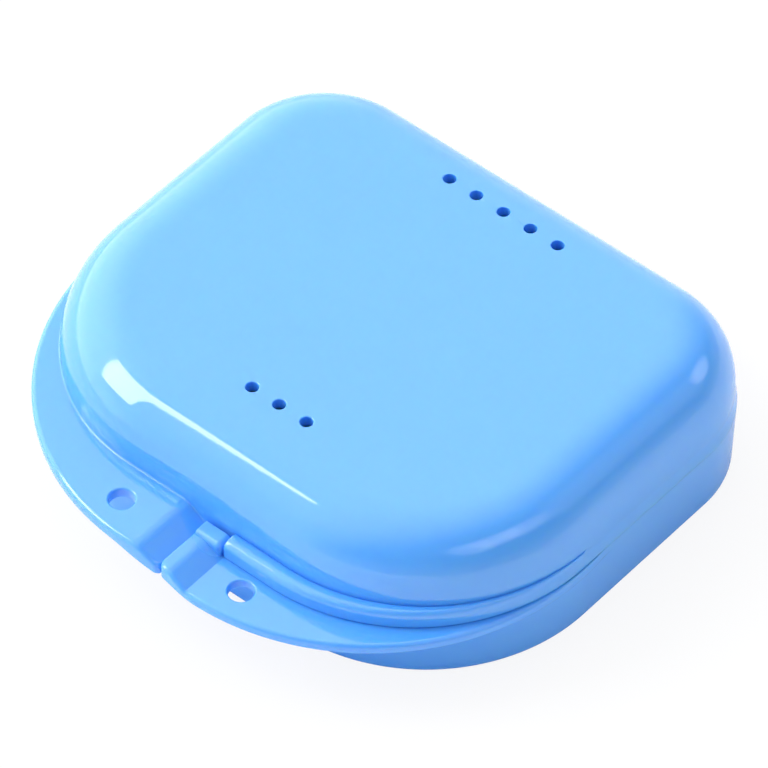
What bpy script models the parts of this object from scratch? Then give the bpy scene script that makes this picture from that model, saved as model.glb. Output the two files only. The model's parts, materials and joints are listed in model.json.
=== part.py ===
"""Retainer case: a moulded tray and a domed lid on two pinned hinges, with a snap tab at the front.

Metres, +Z up. The origin is the centre of the tray's underside. The flanges are at the front (-Y),
the hinges at the back (+Y), and +X is on the right when the front faces the viewer.
"""
import math

import bmesh
import bpy
from mathutils import Matrix, Vector

# Body of the case, without flanges and hinges
CASE_WIDTH = 0.0842
CASE_DEPTH = 0.0699
CASE_HEIGHT = 0.0233
PARTING_HEIGHT = 0.0110
BACK_CORNER_RADIUS = 0.0164
FRONT_CORNER_RADIUS = 0.0280
WALL = 0.0018
SEAM_GAP = 0.0003

# Lid
LID_ROUND_RUN = 0.0100
LID_ROUND_START = 0.0133
LID_FLARE = 0.0003
LIP_WIDTH = 0.0023
LIP_CORNER_RADIUS = 0.0291
LIP_HEIGHT = 0.0028
LIP_EDGE_RADIUS = 0.0011
FOOT_FILLET = 0.0012
SKIRT_THICKNESS = 0.0008
VENT_DIAMETER = 0.0018
VENT_PITCH = 0.00475
BACK_VENTS = 5
FRONT_VENTS = 3
BACK_VENTS_FROM_BACK = 0.0092
FRONT_VENTS_FROM_FRONT = 0.0147

# Tray
TRAY_DRAFT = 0.0004
TRAY_BOTTOM_RADIUS = 0.0011
TRAY_FLOOR = 0.0018
TRAY_INNER_RADIUS = 0.0026
TONGUE_HEIGHT = 0.0012

# Flanges, one on each half of the front
FLANGE_REACH = 0.0102
FLANGE_SIDE_REACH = 0.0004
FLANGE_ARC_OFFSET = 0.0058
LID_FLANGE_THICKNESS = 0.0018
TRAY_FLANGE_THICKNESS = 0.0015
FLANGE_EDGE_RADIUS = 0.0007
FLANGE_UNDER_RADIUS = 0.0003
FLANGE_HOLE_DIAMETER = 0.0036
FLANGE_HOLE_SIDE = 0.01045
FLANGE_HOLE_FORWARD = 0.0051
FLANGE_HOLE_CHAMFER = 0.0003
LID_RAMP_START = 0.0046
LID_RAMP_DROP = 0.0020
TRAY_RAMP_START = 0.0049
TRAY_RAMP_END = 0.0012
TRAY_RAMP_RISE = 0.0016
TRAY_UNDER_START = 0.0065
TRAY_UNDER_RISE = 0.00085

# Snap tab on the tray, in the notch of the lid's lip
NOTCH_WIDTH = 0.00485
TAB_ABOVE_RAMP = 0.0006
TAB_TOP_RADIUS = 0.0007
TAB_NOSE_REACH = 0.00035
TAB_NOSE_CHAMFER = 0.0002
TAB_ROOT = 0.0006
TAB_OVERLAP = 0.0001
LEDGE_REACH = 0.00015
LEDGE_CLEARANCE = 0.00015
LEDGE_HEIGHT = 0.0006
LEDGE_SIDE_MARGIN = 0.0005

# Hinges
HINGE_SPACING = 0.0360
HINGE_BEHIND = 0.0025
HINGE_BELOW_PARTING = 0.0025
BARREL_DIAMETER = 0.0042
KNUCKLE_WIDTH = 0.0064
LUG_WIDTH = 0.0032
LUG_SKIRT = 0.0052
LUG_SHOULDER = 0.0003
ARM_HEIGHT = 0.0060
HEEL_HEIGHT = 0.0018
STOP_BELOW_AXIS = 0.0027
STOP_REACH = 0.0012
STOP_THICKNESS = 0.0007
PIN_DIAMETER = 0.0018
PIN_CLEARANCE = 0.00025
PIN_HEAD_DIAMETER = 0.0030
PIN_HEAD_THICKNESS = 0.0005
PIN_TAIL = 0.0003
PIN_CHAMFER = 0.0002

# Shape of the dome and of the ramps' folds
DOME_POWER = 2.4
FOLD_SHARE = 0.4

# Working values
EMBED = 0.0006
CUT_OVERRUN = 0.0020
WELD = 0.000001

# Facets
FRONT_CORNER_STEPS = 14
BACK_CORNER_STEPS = 8
RAMP_STEPS = 8
FRONT_STEPS = 4
SIDE_STEPS = 6
ROUND_STEPS = 8
INNER_STEPS = 5
SMALL_STEPS = 3
BARREL_STEPS = 24
PIN_STEPS = 20
HOLE_STEPS = 24
VENT_STEPS = 16
SHARP_ANGLE = math.radians(35)

HALF_WIDTH = CASE_WIDTH / 2
HALF_DEPTH = CASE_DEPTH / 2
RIM = PARTING_HEIGHT
LID_RIM = PARTING_HEIGHT + SEAM_GAP
LIP_TOP = PARTING_HEIGHT + LIP_HEIGHT
FRONT_STRAIGHT = HALF_WIDTH - FRONT_CORNER_RADIUS
HALF_GAP = SEAM_GAP / 2
FLANGE_RADIUS = HALF_WIDTH + FLANGE_SIDE_REACH - FLANGE_ARC_OFFSET
FLANGE_CENTRE_Y = FLANGE_RADIUS - HALF_DEPTH - FLANGE_REACH
FLANGE_HOLE_Y = -HALF_DEPTH - FLANGE_HOLE_FORWARD
HINGE_AXIS = Vector((0, HALF_DEPTH + HINGE_BEHIND, PARTING_HEIGHT - HINGE_BELOW_PARTING))
LUG_START = KNUCKLE_WIDTH / 2 + SEAM_GAP
LUG_END = LUG_START + LUG_WIDTH
BARREL_RADIUS = BARREL_DIAMETER / 2
TAB_TOP = PARTING_HEIGHT + TRAY_RAMP_RISE + TAB_ABOVE_RAMP
UPRIGHT = Matrix.Identity(3)
ALONG_X = Matrix.Rotation(math.pi / 2, 3, "Y")


def material(name, colour, roughness, metallic):
    """A plain Principled material."""
    made = bpy.data.materials.new(name)
    made.use_nodes = True
    shader = made.node_tree.nodes["Principled BSDF"]
    shader.inputs["Base Color"].default_value = (*colour, 1)
    shader.inputs["Roughness"].default_value = roughness
    shader.inputs["Metallic"].default_value = metallic
    made.diffuse_color = (*colour, 1)
    return made


def finish(name, bm, origin=Vector((0, 0, 0)), made=None):
    """Turn a bmesh in world coordinates into an object whose origin is at the given point."""
    bmesh.ops.recalc_face_normals(bm, faces=bm.faces)
    bmesh.ops.translate(bm, verts=bm.verts, vec=-origin)
    mesh = bpy.data.meshes.new(name)
    bm.to_mesh(mesh)
    bm.free()
    mesh.shade_smooth()
    mesh.set_sharp_from_angle(angle=SHARP_ANGLE)
    thing = bpy.data.objects.new(name, mesh)
    thing.location = origin
    bpy.context.scene.collection.objects.link(thing)
    if made:
        mesh.materials.append(made)
    return thing


def combine(target, tool, operation):
    """Boolean a helper solid into the target and keep the helper as a hidden guide."""
    modifier = target.modifiers.new(tool.name, "BOOLEAN")
    modifier.operation = operation
    modifier.solver = "EXACT"
    modifier.object = tool
    tool.hide_render = True
    tool.display_type = "WIRE"


def arc(centre, radii, start, end, steps):
    """Points (offset, height) on an ellipse between two angles in degrees."""
    points = []
    for step in range(steps + 1):
        angle = math.radians(start + (end - start) * step / steps)
        points.append((centre[0] + radii[0] * math.cos(angle), centre[1] + radii[1] * math.sin(angle)))
    return points


def dome_arc(centre, radii, start, steps):
    """Points (offset, height) down a dome's rounding, from its flat top to a height share start."""
    last = math.asin(start ** (DOME_POWER / 2))
    points = []
    for step in range(steps + 1):
        angle = math.pi / 2 + (last - math.pi / 2) * step / steps
        run = max(math.cos(angle), 0) ** (2 / DOME_POWER)
        rise = math.sin(angle) ** (2 / DOME_POWER)
        points.append((centre[0] + radii[0] * run, centre[1] + radii[1] * rise))
    return points


def spaced(first, last, steps):
    """Evenly spaced values from first up to, but not including, last."""
    return [first + (last - first) * step / steps for step in range(steps)]


def smooth(share):
    """Ease from 0 to 1."""
    share = min(max(share, 0), 1)
    return share * share * (3 - 2 * share)


def fold(share):
    """Ramp from 0 to 1 that is rounded at its top and straight down to its foot."""
    share = min(max(share, 0), 1)
    if share < FOLD_SHARE:
        return share * share / (2 * FOLD_SHARE) / (1 - FOLD_SHARE / 2)
    return (share - FOLD_SHARE / 2) / (1 - FOLD_SHARE / 2)


def corner(centre, radius, start, end, steps):
    """Stations along a rounded corner of the body, each a place and an outward direction."""
    stations = []
    for angle in spaced(math.radians(start), math.radians(end), steps):
        out = Vector((math.cos(angle), math.sin(angle)))
        stations.append((centre + radius * out, out))
    return stations


def front(xs):
    """Stations on the straight middle of the front."""
    return [(Vector((x, -HALF_DEPTH)), Vector((0, -1))) for x in xs]


def around():
    """Stations from the right front corner, over the right side and the back, to the left corner."""
    front_centre = Vector((FRONT_STRAIGHT, FRONT_CORNER_RADIUS - HALF_DEPTH))
    back_centre = Vector((HALF_WIDTH - BACK_CORNER_RADIUS, HALF_DEPTH - BACK_CORNER_RADIUS))
    half = corner(front_centre, FRONT_CORNER_RADIUS, -90, 0, FRONT_CORNER_STEPS)
    side = spaced(front_centre.y, back_centre.y, SIDE_STEPS)
    half += [(Vector((HALF_WIDTH, y)), Vector((1, 0))) for y in side]
    half += corner(back_centre, BACK_CORNER_RADIUS, 0, 90, BACK_CORNER_STEPS)
    half.append((Vector((back_centre.x, HALF_DEPTH)), Vector((0, 1))))
    return half + [(Vector((-p.x, p.y)), Vector((-n.x, n.y))) for p, n in reversed(half)]


def reach(place, out, centre, radius):
    """Distance from a place, along its outward direction, to a circle, or 0 beyond it."""
    start = place - centre
    along = start.dot(out)
    inside = along * along - start.length_squared + radius * radius
    if inside <= 0:
        return 0
    return max(math.sqrt(inside) - along, 0)


def flange_width(place, out):
    """Reach of the flange beyond the body, on the half of the front that the place is on."""
    centre = Vector((math.copysign(FLANGE_ARC_OFFSET, place.x), FLANGE_CENTRE_Y))
    return reach(place, out, centre, FLANGE_RADIUS) if place.y < 0 else 0


def lip_width(place, out):
    """Reach of the lid's lip beyond the body."""
    centre = Vector((HALF_WIDTH - LIP_CORNER_RADIUS, LIP_CORNER_RADIUS - HALF_DEPTH - LIP_WIDTH))
    if place.y > 0:
        return 0
    if abs(place.x) <= centre.x:
        return LIP_WIDTH
    return reach(place, out, Vector((math.copysign(centre.x, place.x), centre.y)), LIP_CORNER_RADIUS)


def lid_wall(height):
    """Offset of the lid's outside: flared to the body's outline at the rim, rounded over the top."""
    if height <= LID_ROUND_START:
        return -LID_FLARE * smooth((height - LID_RIM) / (LID_ROUND_START - LID_RIM))
    risen = (height - LID_ROUND_START) / (CASE_HEIGHT - LID_ROUND_START)
    return -LID_FLARE - LID_ROUND_RUN * (1 - (1 - risen ** DOME_POWER) ** (1 / DOME_POWER))


def tray_wall(height):
    """Offset of the tray's outside, drawn in towards the bottom."""
    return -TRAY_DRAFT * (1 - height / PARTING_HEIGHT)


def shelf(wall, width, points):
    """Profile points given as (run out from the wall, height), on a wall that isn't quite upright."""
    placed = []
    for run, height in points:
        share = run / width if width else 0
        placed.append((wall(height) * (1 - share) + run, height))
    return placed


def edge_points(width, top, bottom, edge, under):
    """Rounded outer edge of a lip or flange, from its top to its underside."""
    edge_run = min(edge, width / 2)
    under_run = min(under, width / 2)
    points = arc((width - edge_run, top - edge), (edge_run, edge), 90, 0, SMALL_STEPS)
    return points + arc((width - under_run, bottom + under), (under_run, under), 0, -90, 1)


def lid_shelf(place, out):
    """Outside of the lid below its dome: the flange on the left of the front, the lip elsewhere."""
    width = flange_width(place, out) if place.x < 0 else 0
    top, bottom, edge = LIP_TOP, LIP_TOP - LID_FLANGE_THICKNESS, FLANGE_EDGE_RADIUS
    if width:
        ramp = fold((LID_RAMP_START + place.x) / (LID_RAMP_START - HALF_GAP))
        drop = LID_RAMP_DROP * ramp if place.x > -FRONT_STRAIGHT else 0
        top, bottom = top - drop, bottom - drop
    else:
        width, bottom, edge = lip_width(place, out), LID_RIM, LIP_EDGE_RADIUS
    fillet = min(FOOT_FILLET, width / 2)
    points = arc((fillet, top + FOOT_FILLET), (fillet, FOOT_FILLET), 180, 270, SMALL_STEPS)
    points += edge_points(width, top, bottom, edge, FLANGE_UNDER_RADIUS)
    clear = min(width, SEAM_GAP)
    return shelf(lid_wall, width, points + [(clear, bottom), (clear, LID_RIM), (0, LID_RIM)])


def tray_shelf(place, out):
    """Outside of the tray below its rim, from the wall up: the flange, or a plain wall."""
    width = flange_width(place, out) if place.x > 0 else 0
    rise = under = 0
    if width and place.x < FRONT_STRAIGHT:
        ramp = fold((place.x - TRAY_RAMP_END) / (TRAY_RAMP_START - TRAY_RAMP_END))
        rise = TRAY_RAMP_RISE * (1 - ramp)
        under = TRAY_UNDER_RISE * smooth((TRAY_UNDER_START - place.x) / TRAY_UNDER_START)
    top, bottom = RIM + rise, RIM + under - TRAY_FLANGE_THICKNESS
    fillet = min(FOOT_FILLET, width / 2)
    points = arc((fillet, bottom - FOOT_FILLET), (fillet, FOOT_FILLET), 180, 90, SMALL_STEPS)
    points += reversed(edge_points(width, top, bottom, FLANGE_EDGE_RADIUS, FLANGE_UNDER_RADIUS))
    inner = min(LIP_WIDTH, width / 2)
    return shelf(tray_wall, width, points + [(inner, top), (inner, RIM), (0, RIM)])


def bare(points, wall, held):
    """The plain wall left where a shelf ends, with a point for each point of the shelf."""
    return [(wall(held(height)), held(height)) for _, height in points]


def lid_section(middle):
    """Whole section of the lid's shell, from the edge of its flat top, outside, to inside."""
    rise = CASE_HEIGHT - LID_ROUND_START
    foot = (LIP_TOP + FOOT_FILLET - LID_ROUND_START) / rise
    outer = (LID_ROUND_RUN, rise)
    points = dome_arc((-LID_FLARE - LID_ROUND_RUN, LID_ROUND_START), outer, foot, ROUND_STEPS)
    step = RIM + TONGUE_HEIGHT + SEAM_GAP
    points += middle + [(-SKIRT_THICKNESS, LID_RIM), (-SKIRT_THICKNESS, step), (-WALL, step)]
    inner = (LID_ROUND_RUN + LID_FLARE - WALL, rise - WALL)
    inside = dome_arc((-WALL - inner[0], LID_ROUND_START), inner, 0, INNER_STEPS)
    return points + list(reversed(inside))


def tray_section(middle):
    """Whole section of the tray's shell, from the edge of its flat bottom, outside, to inside."""
    radius = TRAY_BOTTOM_RADIUS
    points = arc((tray_wall(radius) - radius, radius), (radius, radius), -90, 0, SMALL_STEPS)
    tongue = -SKIRT_THICKNESS - SEAM_GAP
    points += middle + [(tongue, RIM), (tongue, RIM + TONGUE_HEIGHT), (-WALL, RIM + TONGUE_HEIGHT)]
    inner = TRAY_INNER_RADIUS
    return points + arc((-WALL - inner, TRAY_FLOOR + inner), (inner, inner), 0, -90, INNER_STEPS)


def loft(runs):
    """Closed shell through runs of stations. Each station is a place, a direction and a section.

    A run ends where the section changes at once, as at the end of a flange. The next run starts
    there, and the flat face between the two sections is filled.
    """
    bm = bmesh.new()
    for run in runs:
        rings = []
        for place, out, section in run:
            spots = [place + out * offset for offset, _ in section]
            rings.append([bm.verts.new((s.x, s.y, h)) for s, (_, h) in zip(spots, section)])
        for ring, following in zip(rings, rings[1:]):
            for i in range(len(ring) - 1):
                bm.faces.new((ring[i], ring[i + 1], following[i + 1], following[i]))
    bmesh.ops.remove_doubles(bm, verts=bm.verts, dist=WELD)
    bmesh.ops.dissolve_degenerate(bm, edges=bm.edges, dist=WELD)
    bmesh.ops.holes_fill(bm, edges=[e for e in bm.edges if e.is_boundary], sides=0)
    return bm


def lid_shell():
    """The lid's shell: dome, lip, flange, and the notch that the snap tab stands in."""
    xs = spaced(-FRONT_STRAIGHT, -LID_RAMP_START, FRONT_STEPS)[1:]
    xs += spaced(-LID_RAMP_START, -HALF_GAP, RAMP_STEPS) + [-HALF_GAP]
    stations = front(spaced(NOTCH_WIDTH, FRONT_STRAIGHT, FRONT_STEPS)) + around() + front(xs)
    main = [(p, n, lid_section(lid_shelf(p, n))) for p, n in stations]
    notch = []
    for place, out in (stations[-1], stations[0]):
        middle = bare(lid_shelf(place, out), lid_wall, lambda height: max(height, LID_RIM))
        notch.append((place, out, lid_section(middle)))
    return loft([main, notch])


def tray_shell():
    """The tray's shell: floor, wall, tongue inside the rim, and the flange."""
    xs = spaced(HALF_GAP, TRAY_RAMP_START, RAMP_STEPS)
    xs += spaced(TRAY_RAMP_START, FRONT_STRAIGHT, FRONT_STEPS)
    stations = front(xs) + around()
    main = [(p, n, tray_section(tray_shelf(p, n))) for p, n in stations]
    place, out = stations[0]
    middle = bare(tray_shelf(place, out), tray_wall, lambda height: min(height, RIM))
    left = (stations[-1][0], stations[-1][1], main[-1][2])
    return loft([main, [left, (place, out, tray_section(middle))]])


def extruded(bm, section, start, end):
    """Add a solid with a section given as (y, z), between two x positions."""
    near = [bm.verts.new((start, y, z)) for y, z in section]
    far = [bm.verts.new((end, y, z)) for y, z in section]
    bm.faces.new(near)
    bm.faces.new(reversed(far))
    for i in range(len(section)):
        j = (i + 1) % len(section)
        bm.faces.new((near[j], near[i], far[i], far[j]))


def turned(bm, profile, place, turn, steps):
    """Add a solid turned about an axis: profile gives (distance along it, radius) pairs."""
    rings = []
    for along, radius in profile:
        ring = []
        for step in range(steps):
            angle = 2 * math.pi * step / steps
            spot = Vector((radius * math.cos(angle), radius * math.sin(angle), along))
            ring.append(bm.verts.new(place + turn @ spot))
        rings.append(ring)
    for ring, following in zip(rings, rings[1:]):
        for i in range(steps):
            j = (i + 1) % steps
            bm.faces.new((ring[i], ring[j], following[j], following[i]))
    bm.faces.new(reversed(rings[0]))
    bm.faces.new(rings[-1])


def hole_cutter(name, place, bottom, top):
    """Cutter for a flange hole, opening out at both faces."""
    bm = bmesh.new()
    radius = FLANGE_HOLE_DIAMETER / 2
    wide = radius + FLANGE_HOLE_CHAMFER + CUT_OVERRUN
    profile = [
        (bottom - CUT_OVERRUN, wide),
        (bottom + FLANGE_HOLE_CHAMFER, radius),
        (top - FLANGE_HOLE_CHAMFER, radius),
        (top + CUT_OVERRUN, wide),
    ]
    turned(bm, profile, place, UPRIGHT, HOLE_STEPS)
    return finish(name, bm)


def vent_cutter():
    """Cutter for the two rows of vents in the top of the lid."""
    bm = bmesh.new()
    back_y = HALF_DEPTH - BACK_VENTS_FROM_BACK
    front_y = FRONT_VENTS_FROM_FRONT - HALF_DEPTH
    profile = [
        (CASE_HEIGHT - WALL - CUT_OVERRUN, VENT_DIAMETER / 2),
        (CASE_HEIGHT + CUT_OVERRUN, VENT_DIAMETER / 2),
    ]
    for count, y in ((BACK_VENTS, back_y), (FRONT_VENTS, front_y)):
        for i in range(count):
            x = (i - (count - 1) / 2) * VENT_PITCH
            turned(bm, profile, Vector((x, y, 0)), UPRIGHT, VENT_STEPS)
    return finish("vent_cutter", bm)


def stations_x():
    """Places of the two hinges along the back."""
    return (-HINGE_SPACING / 2, HINGE_SPACING / 2)


def bore_cutter(name):
    """Cutter for the pin's bore through both hinges."""
    bm = bmesh.new()
    half = LUG_END + CUT_OVERRUN
    radius = PIN_DIAMETER / 2 + PIN_CLEARANCE
    for x in stations_x():
        place = HINGE_AXIS + Vector((x, 0, 0))
        turned(bm, [(-half, radius), (half, radius)], place, ALONG_X, PIN_STEPS)
    return finish(name, bm)


def about_axis(points):
    """Move section points from the hinge axis to their place."""
    return [(HINGE_AXIS.y + y, HINGE_AXIS.z + z) for y, z in points]


def tray_lugs():
    """Two lugs at each hinge, and the stop under the lid's knuckle between them."""
    wall = -HINGE_BEHIND - EMBED
    shoulder = HINGE_BELOW_PARTING - LUG_SHOULDER
    lug = [(wall, -LUG_SKIRT), (wall, shoulder)]
    lug += arc((0, 0), (BARREL_RADIUS, BARREL_RADIUS), 90, -75, BARREL_STEPS // 2)
    stop_foot = STOP_BELOW_AXIS + STOP_THICKNESS
    stop = [(wall, -LUG_SKIRT), (wall, -STOP_BELOW_AXIS)]
    stop += [(STOP_REACH, -STOP_BELOW_AXIS), (STOP_REACH, -stop_foot)]
    bm = bmesh.new()
    for x in stations_x():
        extruded(bm, about_axis(lug), x - LUG_END, x - LUG_START)
        extruded(bm, about_axis(lug), x + LUG_START, x + LUG_END)
    stop_bm = bmesh.new()
    for x in stations_x():
        half = LUG_START + EMBED
        extruded(stop_bm, about_axis(stop), x - half, x + half)
    return finish("lug_guide", bm), finish("stop_guide", stop_bm)


def lid_knuckles():
    """One knuckle at each hinge, on an arm from the lid's back wall."""
    wall = -HINGE_BEHIND - EMBED
    arm_foot = HINGE_BELOW_PARTING + SEAM_GAP + HALF_GAP
    section = [(wall, arm_foot), (-BARREL_RADIUS, arm_foot)]
    section += arc((0, 0), (BARREL_RADIUS, BARREL_RADIUS), 180, 360, BARREL_STEPS // 2)
    arm_top = HINGE_BELOW_PARTING + ARM_HEIGHT
    top_wall = wall + lid_wall(HINGE_AXIS.z + arm_top)
    section += [(BARREL_RADIUS, HEEL_HEIGHT), (top_wall, arm_top)]
    bm = bmesh.new()
    for x in stations_x():
        extruded(bm, about_axis(section), x - KNUCKLE_WIDTH / 2, x + KNUCKLE_WIDTH / 2)
    return finish("knuckle_guide", bm)


def lid_ledge():
    """The ledge in the lid's notch, below the snap tab's nose."""
    front_y = -HALF_DEPTH
    low = LID_RIM + HALF_GAP
    section = [
        (front_y + EMBED, low),
        (front_y - LEDGE_REACH, low),
        (front_y - LEDGE_REACH, low + LEDGE_HEIGHT),
        (front_y + EMBED, low + LEDGE_HEIGHT),
    ]
    bm = bmesh.new()
    extruded(bm, section, LEDGE_SIDE_MARGIN, NOTCH_WIDTH - LEDGE_SIDE_MARGIN)
    return finish("ledge_guide", bm)


def snap_tab():
    """The tab that stands up from the tray through the lid's notch.

    Its nose sits above the lid's ledge and clears it as the lid swings, because the solid can't bend.
    """
    outer = -HALF_DEPTH - LIP_WIDTH - TAB_OVERLAP
    tip = -HALF_DEPTH - LEDGE_REACH - LEDGE_CLEARANCE
    stem = tip - TAB_NOSE_REACH
    nose = LID_RIM + HALF_GAP + LEDGE_HEIGHT + SEAM_GAP
    radius = TAB_TOP_RADIUS
    section = [(stem, RIM - TAB_ROOT), (outer, RIM - TAB_ROOT)]
    section += arc((outer + radius, TAB_TOP - radius), (radius, radius), 180, 90, SMALL_STEPS)
    section += [
        (tip - TAB_NOSE_CHAMFER, TAB_TOP),
        (tip, TAB_TOP - TAB_NOSE_CHAMFER),
        (tip, nose),
        (stem, nose),
    ]
    bm = bmesh.new()
    extruded(bm, section, HALF_GAP + TAB_OVERLAP, NOTCH_WIDTH - SEAM_GAP)
    return finish("tab_guide", bm)


def make_tray(plastic):
    """The tray with its flange, snap tab, lugs and holes."""
    tray = finish("tray", tray_shell(), made=plastic)
    for tool in (*tray_lugs(), snap_tab()):
        combine(tray, tool, "UNION")
    place = Vector((FLANGE_HOLE_SIDE, FLANGE_HOLE_Y, 0))
    hole = hole_cutter("tray_hole_cutter", place, RIM - TRAY_FLANGE_THICKNESS, RIM)
    combine(tray, hole, "DIFFERENCE")
    combine(tray, bore_cutter("tray_bore_cutter"), "DIFFERENCE")
    return tray


def make_lid(plastic):
    """The lid with its flange, lip, knuckles, vents and holes, turning about the hinge axis."""
    lid = finish("lid", lid_shell(), HINGE_AXIS, plastic)
    for tool in (lid_knuckles(), lid_ledge()):
        combine(lid, tool, "UNION")
    combine(lid, vent_cutter(), "DIFFERENCE")
    place = Vector((-FLANGE_HOLE_SIDE, FLANGE_HOLE_Y, 0))
    hole = hole_cutter("lid_hole_cutter", place, LIP_TOP - LID_FLANGE_THICKNESS, LIP_TOP)
    combine(lid, hole, "DIFFERENCE")
    combine(lid, bore_cutter("lid_bore_cutter"), "DIFFERENCE")
    return lid


def make_pins(steel):
    """A headed pin in each hinge, its head on the outer side."""
    radius = PIN_DIAMETER / 2
    head = PIN_HEAD_DIAMETER / 2
    seat = LUG_END + HALF_GAP
    profile = [
        (-LUG_END - PIN_TAIL, radius - PIN_CHAMFER),
        (-LUG_END - PIN_TAIL + PIN_CHAMFER, radius),
        (seat, radius),
        (seat, head),
        (seat + PIN_HEAD_THICKNESS - PIN_CHAMFER, head),
        (seat + PIN_HEAD_THICKNESS, head - PIN_CHAMFER),
    ]
    for name, x in zip(("hinge_pin_left", "hinge_pin_right"), stations_x()):
        side = math.copysign(1, x)
        bm = bmesh.new()
        place = HINGE_AXIS + Vector((x, 0, 0))
        outward = Matrix.Rotation(side * math.pi / 2, 3, "Y")
        turned(bm, profile, place, outward, PIN_STEPS)
        finish(name, bm, place, steel)


def main():
    for thing in list(bpy.data.objects):
        bpy.data.objects.remove(thing)
    plastic = material("blue_polypropylene", (0.20, 0.52, 1.0), 0.22, 0.0)
    steel = material("stainless_steel", (0.60, 0.61, 0.62), 0.3, 1.0)
    make_tray(plastic)
    make_lid(plastic)
    make_pins(steel)


main()
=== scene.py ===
"""A blue plastic retainer case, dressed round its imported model, on a plain white floor.

The lid and the tray are lofted shells. A section is worked out at each station along the outline of
the body and the sections are joined, so the dome, lip, flanges and ramps are one smooth skin.
"""
import json
import math

import bmesh
import bpy
from bpy.props import FloatProperty, FloatVectorProperty, IntProperty, PointerProperty
from mathutils import Matrix, Quaternion, Vector


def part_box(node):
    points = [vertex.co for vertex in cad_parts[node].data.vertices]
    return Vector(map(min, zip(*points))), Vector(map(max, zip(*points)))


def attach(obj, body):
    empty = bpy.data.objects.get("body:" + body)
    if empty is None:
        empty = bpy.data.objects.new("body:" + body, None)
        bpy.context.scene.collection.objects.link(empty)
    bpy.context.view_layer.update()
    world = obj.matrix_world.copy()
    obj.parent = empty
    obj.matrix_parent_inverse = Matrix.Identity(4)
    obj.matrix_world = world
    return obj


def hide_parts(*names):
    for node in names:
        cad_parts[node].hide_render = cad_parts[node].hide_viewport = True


bl_info = {
    "name": "Retainer Case",
    "version": (1, 0, 0),
    "blender": (4, 5, 0),
    "location": "View3D > Sidebar > Retainer Case",
    "description": "Builds a hinged plastic retainer case and a plain studio round it",
    "category": "Add Mesh",
}

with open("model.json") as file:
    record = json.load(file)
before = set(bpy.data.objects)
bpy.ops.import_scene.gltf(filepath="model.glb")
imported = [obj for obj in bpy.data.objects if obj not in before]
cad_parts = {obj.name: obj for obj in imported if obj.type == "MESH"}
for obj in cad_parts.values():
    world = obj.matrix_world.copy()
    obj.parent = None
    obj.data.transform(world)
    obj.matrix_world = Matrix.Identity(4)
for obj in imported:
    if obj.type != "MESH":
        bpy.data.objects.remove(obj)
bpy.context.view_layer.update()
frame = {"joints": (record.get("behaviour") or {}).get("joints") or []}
lid_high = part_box("lid")[1]
hinge = Vector(frame["joints"][0]["pos_m"])

# Fineness of the visible meshes
FRONT_CORNER_STEPS = 56
BACK_CORNER_STEPS = 40
SIDE_STEPS = 14
FRONT_STEPS = 12
RAMP_STEPS = 36
DOME_STEPS = 40
INNER_STEPS = 12
FILLET_STEPS = 8
EDGE_STEPS = 8
END_STEPS = 5
TURN_STEPS = 64
WELD = 0.0000005
SLIVER = 0.000001
SHARP_ANGLE = math.radians(28)
BEVEL_STEPS = 3

# How square the dome's rounding is, the rounded share of a ramp, the share of a narrow lip that rounds
# inwards, a pin's rounded tail and the flat of its head by its radius, and the head's arc in degrees
DOME_POWER = 2.4
FOLD_SHARE = 0.4
LIP_RUN_SHARE = 0.4
TAIL_SHARE = 0.2
HEAD_SHARE = 0.1
HEAD_END = 80

# How many clearances the lid's knuckles and ledge stand above the rim, and the tab's nose above the
# rim and the ledge's height
KNUCKLE_CLEARANCES = 1.5
NOSE_CLEARANCES = 2.5

# Plastic: gloss, how far light spreads in it, and its noises' scale and detail with what they do
PLASTIC_IOR = 1.49
PLASTIC_SPECULAR = 1.0
SPREAD_RADII = (0.3, 0.6, 1.0)
SPREAD_SCALE = 0.0006
FLOW = (45, 2)
FLOW_SHADE = 0.975
RUB = (260, 3)
RUB_ROUGHNESS = (0.05, 0.08)
GRAIN = (1800, 2)
GRAIN_STRENGTH = 0.04
GRAIN_DEPTH = 0.00002

# The tab is matt: the added roughness, and the distances from its middle where that fades and ends
MATT_ROUGHNESS = 0.36
MATT_NEAR = 0.0023
MATT_FAR = 0.0036

# Steel: how closely its lines lie along and across the pin, their shade and their roughness
WIRE_LINES = (9000, 500, 500)
WIRE_SHADE = 0.85
WIRE_ROUGHNESS = (0.22, 0.38)

# Camera: place, angle below level and turn in degrees, lens and sensor in mm, and how far it sees
CAMERA_PLACE = (0.4577, -0.5338, 0.7871)
CAMERA_DROP = 47.85
CAMERA_TURN = 40.56
CAMERA_LENS = 365.6
CAMERA_SENSOR = 36
CAMERA_END = 20

# Floor: half its side, its colour and roughness, and the share of plain white that the camera sees
FLOOR_REACH = 3
FLOOR_COLOUR = (0.9, 0.9, 0.9, 1)
FLOOR_ROUGHNESS = 0.9
FLOOR_WHITE = 0.88

# Softbox: bearing, height and turn in degrees, distance and sides in metres, and power in watts
SOFTBOX_BEARING = -150.5
SOFTBOX_HEIGHT = 43.5
SOFTBOX_TURN = 31.3
SOFTBOX_DISTANCE = 1.5
SOFTBOX_SIZE = (0.536, 0.905)
SOFTBOX_POWER = 9

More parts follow.
